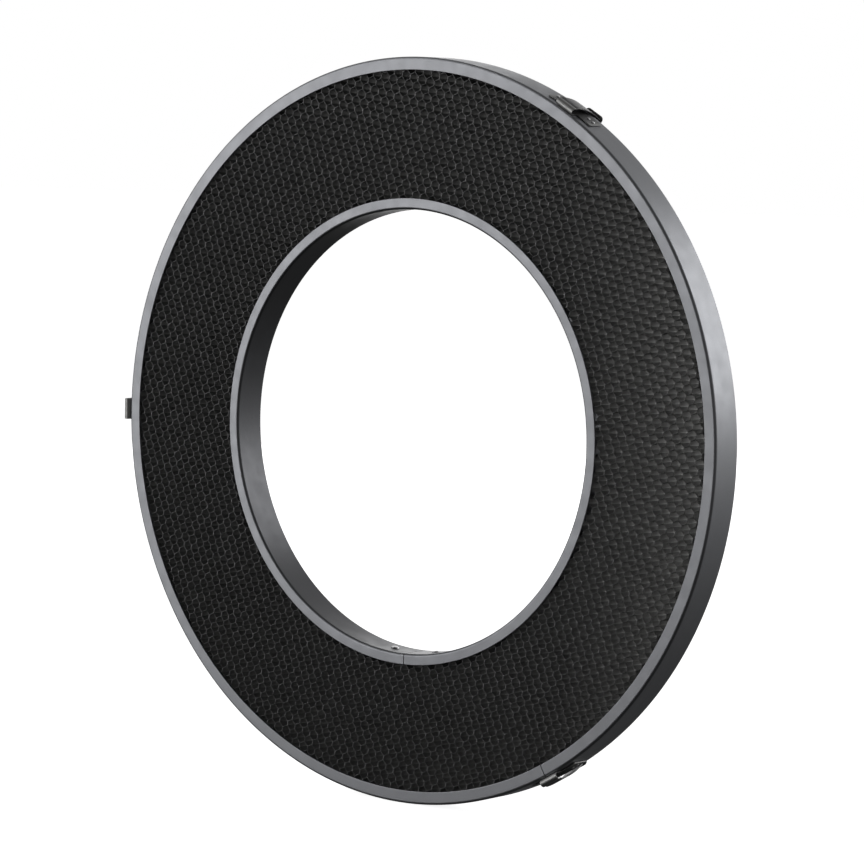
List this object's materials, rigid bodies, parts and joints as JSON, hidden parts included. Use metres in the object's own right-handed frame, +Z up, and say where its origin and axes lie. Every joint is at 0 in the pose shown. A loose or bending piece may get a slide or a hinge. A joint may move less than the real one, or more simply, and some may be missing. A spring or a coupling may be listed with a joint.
{
  "type": "annular honeycomb grid",
  "caption": "Ring-shaped honeycomb light grid: two metal channel rims, a black cell core and spring hook clips that hold it on a reflector's rim.",
  "frame": {"origin": "centre of the ring, in the plane of the rims' back faces, where the grid seats on the reflector", "axes": "+Y along the ring's axis towards the reflector behind the grid, so the front faces -Y; +Z up as in use; +X to the right seen from the front"},
  "size_m": [0.4043, 0.0319, 0.4],
  "materials": {
    "rim_paint": "satin",
    "core_foil": "satin",
    "black_rubber": "matte",
    "clip_steel": "satin",
    "rivet_metal": "satin"
  },
  "bodies": {
    "root": {"clip_1_base_plate": "clip_steel", "clip_1_rivet_1": "rivet_metal", "clip_1_rivet_2": "rivet_metal", "clip_1_rivet_3": "rivet_metal", "clip_1_rivet_4": "rivet_metal", "clip_2_base_plate": "clip_steel", "clip_2_rivet_1": "rivet_metal", "clip_2_rivet_2": "rivet_metal", "clip_2_rivet_3": "rivet_metal", "clip_2_rivet_4": "rivet_metal", "clip_3_base_plate": "clip_steel", "clip_3_rivet_1": "rivet_metal", "clip_3_rivet_2": "rivet_metal", "clip_3_rivet_3": "rivet_metal", "clip_3_rivet_4": "rivet_metal", "honeycomb_core": "core_foil", "inner_joint_rivet_1": "rivet_metal", "inner_joint_rivet_2": "rivet_metal", "inner_joint_strap": "rim_paint", "inner_rim": "rim_paint", "outer_rim": "rim_paint"},
    "clip_1_hook": {"clip_1_spring_leaf": "clip_steel", "clip_1_hook_sleeve": "black_rubber"},
    "clip_2_hook": {"clip_2_spring_leaf": "clip_steel", "clip_2_hook_sleeve": "black_rubber"},
    "clip_3_hook": {"clip_3_spring_leaf": "clip_steel", "clip_3_hook_sleeve": "black_rubber"}
  },
  "joints": [
    {"name": "clip_1_flex", "type": "hinge", "parent": "root", "child": "clip_1_hook", "pos_m": [0.10113, -0.0192, 0.17515], "axis": [0.866, 0, -0.5], "range_deg": [0, 20], "stiffness_Nm_per_rad": 0.05, "springref_deg": -11.46},
    {"name": "clip_2_flex", "type": "hinge", "parent": "root", "child": "clip_2_hook", "pos_m": [0.10113, -0.0192, -0.17515], "axis": [-0.866, 0, -0.5], "range_deg": [0, 20], "stiffness_Nm_per_rad": 0.05, "springref_deg": -11.46},
    {"name": "clip_3_flex", "type": "hinge", "parent": "root", "child": "clip_3_hook", "pos_m": [-0.20225, -0.0192, 0], "axis": [0, 0, 1], "range_deg": [0, 20], "stiffness_Nm_per_rad": 0.05, "springref_deg": -11.46}
  ]
}
